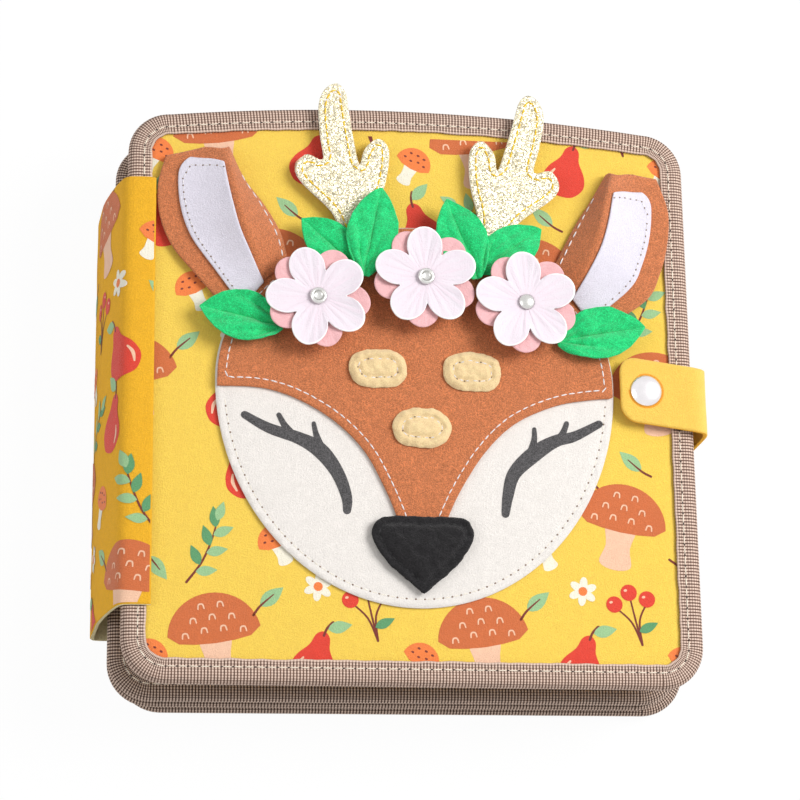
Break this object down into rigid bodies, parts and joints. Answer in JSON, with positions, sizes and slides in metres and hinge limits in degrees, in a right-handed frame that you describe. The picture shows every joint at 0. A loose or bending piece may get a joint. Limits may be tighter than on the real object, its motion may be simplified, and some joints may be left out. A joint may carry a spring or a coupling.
{
  "type": "quiet book",
  "caption": "Square felt quiet book with a sewn deer's head, petals that turn, and a strap with a press stud.",
  "frame": {"origin": "middle of the back cover's outer face, on the table", "axes": "+X from the spine to the opening edge, +Y up the page, +Z out of the front cover"},
  "size_m": [0.2298, 0.2345, 0.0592],
  "materials": {
    "printed_felt": "printed felt, matt",
    "interlining": "stiff interlining",
    "lining_felt": "plain felt, matt",
    "page_felt": "plain felt, matt",
    "binding_tape": "woven tape",
    "brown_felt": "felt, matt",
    "cream_felt": "felt, matt",
    "white_felt": "felt, matt",
    "black_felt": "felt, matt",
    "tan_felt": "felt, matt",
    "leaf_felt": "felt, matt",
    "petal_felt": "felt, matt",
    "pink_felt": "felt, matt",
    "glitter_felt": "felt with glitter",
    "strap_felt": "felt, matt",
    "snap_metal": "plated, polished",
    "rivet_metal": "plated, polished"
  },
  "bodies": {
    "back_cover": {"back_cover_felt": "printed_felt", "back_cover_core": "interlining", "back_cover_lining": "lining_felt", "back_cover_binding": "binding_tape", "spine_back_flap": "printed_felt", "strap_root": "strap_felt"},
    "spine": {"spine_wall": "printed_felt"},
    "page_1": {"page_1_front_felt": "page_felt", "page_1_core": "interlining", "page_1_rear_felt": "page_felt", "page_1_binding": "binding_tape", "page_1_hinge_tape": "binding_tape"},
    "page_2": {"page_2_front_felt": "page_felt", "page_2_core": "interlining", "page_2_rear_felt": "page_felt", "page_2_binding": "binding_tape", "page_2_hinge_tape": "binding_tape"},
    "front_cover": {"front_cover_felt": "printed_felt", "front_cover_core": "interlining", "front_cover_lining": "lining_felt", "front_cover_binding": "binding_tape", "spine_front_flap": "printed_felt", "snap_stud": "snap_metal", "snap_stud_back": "snap_metal", "deer_face": "cream_felt", "deer_head": "brown_felt", "nose": "black_felt", "spot_left": "tan_felt", "spot_right": "tan_felt", "spot_middle": "tan_felt", "ear_left_outer": "brown_felt", "ear_left_inner": "white_felt", "ear_right_outer": "brown_felt", "ear_right_inner": "white_felt", "antler_left": "glitter_felt", "antler_right": "glitter_felt", "leaf_far_left": "leaf_felt", "leaf_left_outer": "leaf_felt", "leaf_left_inner": "leaf_felt", "leaf_right_inner": "leaf_felt", "leaf_right_outer": "leaf_felt", "leaf_far_right": "leaf_felt", "flower_left_rivet": "rivet_metal", "flower_middle_rivet": "rivet_metal", "flower_right_rivet": "rivet_metal"},
    "flower_left": {"flower_left_petals_under": "pink_felt", "flower_left_petals_top": "petal_felt"},
    "flower_middle": {"flower_middle_petals_under": "pink_felt", "flower_middle_petals_top": "petal_felt"},
    "flower_right": {"flower_right_petals_under": "pink_felt", "flower_right_petals_top": "petal_felt"},
    "strap_riser": {"strap_riser": "strap_felt"},
    "strap_flap": {"strap_flap": "strap_felt", "snap_cap": "snap_metal", "snap_socket": "snap_metal"}
  },
  "joints": [
    {"name": "front_cover_open", "type": "hinge", "parent": "spine", "child": "front_cover", "pos_m": [-0.11252, 0, 0.05161], "axis": [0, -1, 0], "range_deg": [0, 85]},
    {"name": "spine_fold", "type": "hinge", "parent": "back_cover", "child": "spine", "pos_m": [-0.11665, 0, 0.0002], "axis": [0, -1, 0], "range_deg": [0, 85]},
    {"name": "page_1_turn", "type": "hinge", "parent": "spine", "child": "page_1", "pos_m": [-0.11455, 0, 0.0205], "axis": [0, -1, 0], "range_deg": [0, 42.5]},
    {"name": "page_2_turn", "type": "hinge", "parent": "spine", "child": "page_2", "pos_m": [-0.11455, 0, 0.0124], "axis": [0, -1, 0], "range_deg": [-34, 0]},
    {"name": "strap_root_bend", "type": "hinge", "parent": "back_cover", "child": "strap_riser", "pos_m": [0.1131, 0, 0.0001], "axis": [0, 1, 0], "range_deg": [0, 85]},
    {"name": "strap_top_bend", "type": "hinge", "parent": "strap_riser", "child": "strap_flap", "pos_m": [0.11134, 0, 0.04815], "axis": [0, 1, 0], "range_deg": [0, 85]},
    {"name": "flower_left_spin", "type": "hinge", "parent": "front_cover", "child": "flower_left", "pos_m": [-0.03669, 0.0378, 0.04676], "axis": [0.0234, 0, 0.9997], "continuous": true},
    {"name": "flower_middle_spin", "type": "hinge", "parent": "front_cover", "child": "flower_middle", "pos_m": [0.0038, 0.0469, 0.04581], "axis": [0.0234, 0, 0.9997], "continuous": true},
    {"name": "flower_right_spin", "type": "hinge", "parent": "front_cover", "child": "flower_right", "pos_m": [0.04179, 0.0383, 0.04492], "axis": [0.0234, 0, 0.9997], "continuous": true}
  ],
  "couplings": [
    {"joint": "spine_fold", "follows": "front_cover_open", "ratio": 1},
    {"joint": "page_1_turn", "follows": "front_cover_open", "ratio": 0.5},
    {"joint": "page_2_turn", "follows": "front_cover_open", "ratio": -0.4},
    {"joint": "strap_root_bend", "follows": "front_cover_open", "ratio": 1},
    {"joint": "strap_top_bend", "follows": "front_cover_open", "ratio": 1}
  ]
}
